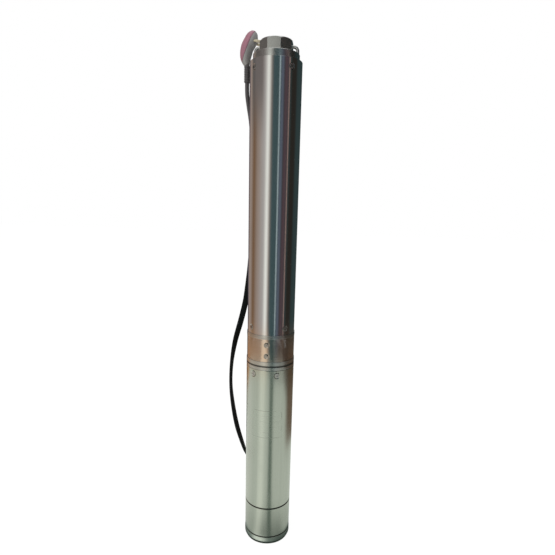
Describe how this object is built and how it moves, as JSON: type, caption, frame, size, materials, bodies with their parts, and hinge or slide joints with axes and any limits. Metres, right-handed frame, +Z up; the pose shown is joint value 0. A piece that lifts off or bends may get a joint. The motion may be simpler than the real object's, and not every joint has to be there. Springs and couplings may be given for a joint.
{
  "type": "borehole submersible pump",
  "caption": "Slender stainless borehole pump: canned motor below, perforated intake, multistage casing, octagonal threaded outlet with rope eyes, flat supply lead and plug.",
  "frame": {"origin": "centre of the flat base under the end plate", "axes": "+Z up along the pump's axis to the outlet, -Y towards the front with the strainer's screws, rope eyes at -X and +X"},
  "size_m": [0.142, 0.1868, 1.0099],
  "materials": {
    "casing_steel": "polished",
    "motor_steel": "brushed",
    "strainer_steel": "satin perforated sheet",
    "cast_steel": "cast and blasted",
    "bar_steel": "bright bar",
    "screw_steel": "machined",
    "shaft_steel": "ground",
    "housing_iron": "machined casting",
    "lamination": "stacked sheet",
    "copper": "enamelled wire",
    "cage_alloy": "die cast",
    "seat_bronze": "turned",
    "impeller_resin": "moulded",
    "diffuser_resin": "moulded",
    "seal_rubber": "moulded",
    "carbon": "carbon",
    "ceramic": "lapped",
    "cable_rubber": "extruded",
    "plug_rose": "moulded",
    "plug_grey": "moulded",
    "pin_brass": "nickel plated"
  },
  "bodies": {
    "pump_body": {"pump_casing": "casing_steel", "motor_shell": "motor_steel", "bottom_cap": "motor_steel", "end_plate": "motor_steel", "intake_strainer": "strainer_steel", "discharge_head": "cast_steel", "intake_housing": "cast_steel", "upper_bracket": "cast_steel", "gland_boss": "cast_steel", "top_bracket": "cast_steel", "rope_eyes": "bar_steel", "gland_plate": "bar_steel", "head_screws": "screw_steel", "intake_screws": "screw_steel", "strainer_screws": "screw_steel", "bracket_screws": "screw_steel", "mount_studs": "screw_steel", "stud_nuts": "screw_steel", "cover_screws": "screw_steel", "gland_screws": "screw_steel", "valve_spring": "shaft_steel", "stage_plates": "shaft_steel", "thrust_pads": "shaft_steel", "thrust_plate": "shaft_steel", "lower_bracket": "housing_iron", "diaphragm_ring": "housing_iron", "diaphragm_cover": "housing_iron", "stator_core": "lamination", "stator_winding": "copper", "valve_seat": "seat_bronze", "valve_guide": "impeller_resin", "diffusers": "diffuser_resin", "top_bush": "seal_rubber", "shell_o_rings": "seal_rubber", "diaphragm": "seal_rubber", "gland_bush": "seal_rubber", "upper_bush": "carbon", "lower_bush": "carbon", "seal_seat": "ceramic", "supply_cable": "cable_rubber", "plug_sleeve": "cable_rubber", "plug_shell": "plug_rose", "plug_base": "plug_grey", "plug_pins": "pin_brass", "plug_clips": "pin_brass"},
    "rotor": {"impellers": "impeller_resin", "pump_shaft": "shaft_steel", "journal_sleeve": "shaft_steel", "shaft_nut": "screw_steel", "shaft_coupling": "shaft_steel", "coupling_screws": "screw_steel", "seal_head": "carbon", "sand_slinger": "seal_rubber", "rotor_core": "lamination", "rotor_cage": "cage_alloy", "motor_shaft": "shaft_steel", "thrust_disc": "carbon", "thrust_nut": "screw_steel"},
    "check_valve": {"valve_poppet": "impeller_resin", "poppet_seal": "seal_rubber"}
  },
  "joints": [
    {"name": "rotor_spin", "type": "hinge", "parent": "pump_body", "child": "rotor", "pos_m": [0, 0, 0.23], "axis": [0, 0, 1], "continuous": true},
    {"name": "valve_lift", "type": "slide", "parent": "pump_body", "child": "check_valve", "axis": [0, 0, 1], "range_m": [0, 0.008], "stiffness_N_per_m": 200, "springref_m": -0.006, "deforming": ["valve_spring"]}
  ]
}
